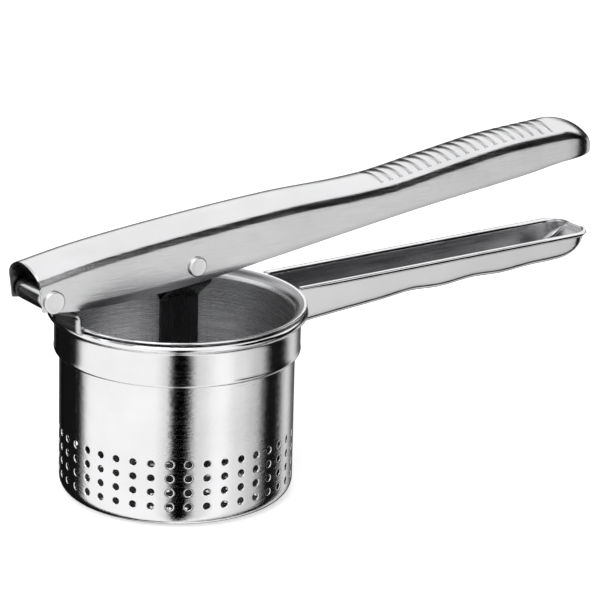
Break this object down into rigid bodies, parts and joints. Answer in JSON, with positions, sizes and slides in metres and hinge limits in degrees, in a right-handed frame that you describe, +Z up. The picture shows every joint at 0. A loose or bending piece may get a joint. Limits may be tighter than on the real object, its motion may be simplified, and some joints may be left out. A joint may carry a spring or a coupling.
{
  "type": "potato ricer",
  "caption": "Hand potato ricer: perforated basket in a ring with a trough handle, and a hinged lever that presses a dish-shaped plunger.",
  "frame": {"origin": "centre of the basket's underside, where the ricer rests", "axes": "+X runs along both handles away from the hinge, +Y is across the handles, +Z is up out of the basket"},
  "size_m": [0.2502, 0.094, 0.1155],
  "materials": {
    "basket_steel": "bright drawn stainless steel, brushed round the axis inside",
    "polished_steel": "polished stainless steel",
    "satin_steel": "satin polished stainless steel, brushed along the lever",
    "bracket_steel": "pressed stainless steel with bright edges",
    "rivet_steel": "satin stainless steel rivet",
    "plunger_steel": "pressed stainless steel, brushed"
  },
  "bodies": {
    "frame": {"holder_ring": "polished_steel", "basket": "basket_steel", "lower_handle": "polished_steel", "hinge_bracket": "bracket_steel"},
    "lever": {"upper_handle": "satin_steel", "hinge_rivet": "rivet_steel", "plunger_rivet": "rivet_steel"},
    "plunger": {"stem_spacer": "rivet_steel", "plunger_stem_left": "plunger_steel", "plunger_stem_right": "plunger_steel", "pusher_plate": "plunger_steel"}
  },
  "joints": [
    {"name": "lever_hinge", "type": "hinge", "parent": "frame", "child": "lever", "pos_m": [-0.0583, 0, 0.0831], "axis": [0, -1, 0], "range_deg": [-7, 72]},
    {"name": "plunger_pivot", "type": "hinge", "parent": "lever", "child": "plunger", "pos_m": [0.0009, 0, 0.0864], "axis": [0, -1, 0], "range_deg": [-34, 4]}
  ],
  "couplings": [
    {"joint": "plunger_pivot", "follows": "lever_hinge", "ratio": -0.46}
  ]
}
